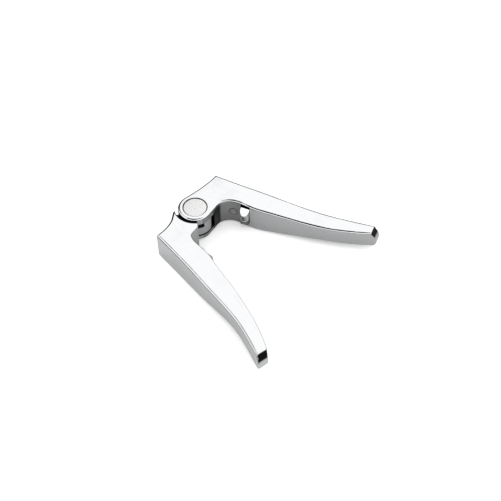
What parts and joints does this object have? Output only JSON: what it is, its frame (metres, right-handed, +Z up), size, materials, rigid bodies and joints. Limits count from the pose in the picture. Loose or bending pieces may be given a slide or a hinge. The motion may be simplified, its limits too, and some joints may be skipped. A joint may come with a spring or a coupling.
{
  "type": "champagne cork pliers",
  "caption": "Hinged pliers for sparkling-wine corks: curved mirror-chrome levers on a satin-capped pin, with a rounded cork hollow and a steel tooth in each.",
  "frame": {"origin": "on the hinge axis, at the plane the tool rests on", "axes": "+Z up along the hinge axis; +X along the line midway between the two handles, towards their tips; +Y towards the fork lever"},
  "size_m": [0.1481, 0.1629, 0.026],
  "materials": {
    "polished_chrome": "mirror-polished chrome plate on a zinc casting",
    "satin_metal": "fine satin",
    "pin_steel": "ground",
    "spring_steel": "hardened and oiled",
    "bearing_bronze": "sintered bronze",
    "washer_plastic": "moulded acetal",
    "tooth_steel": "polished plated steel",
    "screw_steel": "plated",
    "stud_steel": "turned and polished"
  },
  "bodies": {
    "tongue": {"tongue_lever": "polished_chrome", "knuckle_bush": "bearing_bronze", "tongue_jaw_tooth": "tooth_steel", "tongue_tooth_screw": "screw_steel", "tongue_grip_stud": "stud_steel"},
    "fork": {"fork_lever": "polished_chrome", "hinge_pin": "pin_steel", "pin_top_cap": "satin_metal", "pin_bottom_cap": "satin_metal", "pin_retaining_ring": "spring_steel", "upper_thrust_washer": "washer_plastic", "lower_thrust_washer": "washer_plastic", "hinge_disc_spring": "spring_steel", "fork_jaw_tooth": "tooth_steel", "fork_tooth_screw": "screw_steel", "fork_grip_stud": "stud_steel"}
  },
  "joints": [
    {"name": "lever_hinge", "type": "hinge", "parent": "tongue", "child": "fork", "pos_m": [0, 0, 0.013], "axis": [0, 0, 1], "range_deg": [-54, 72]}
  ]
}
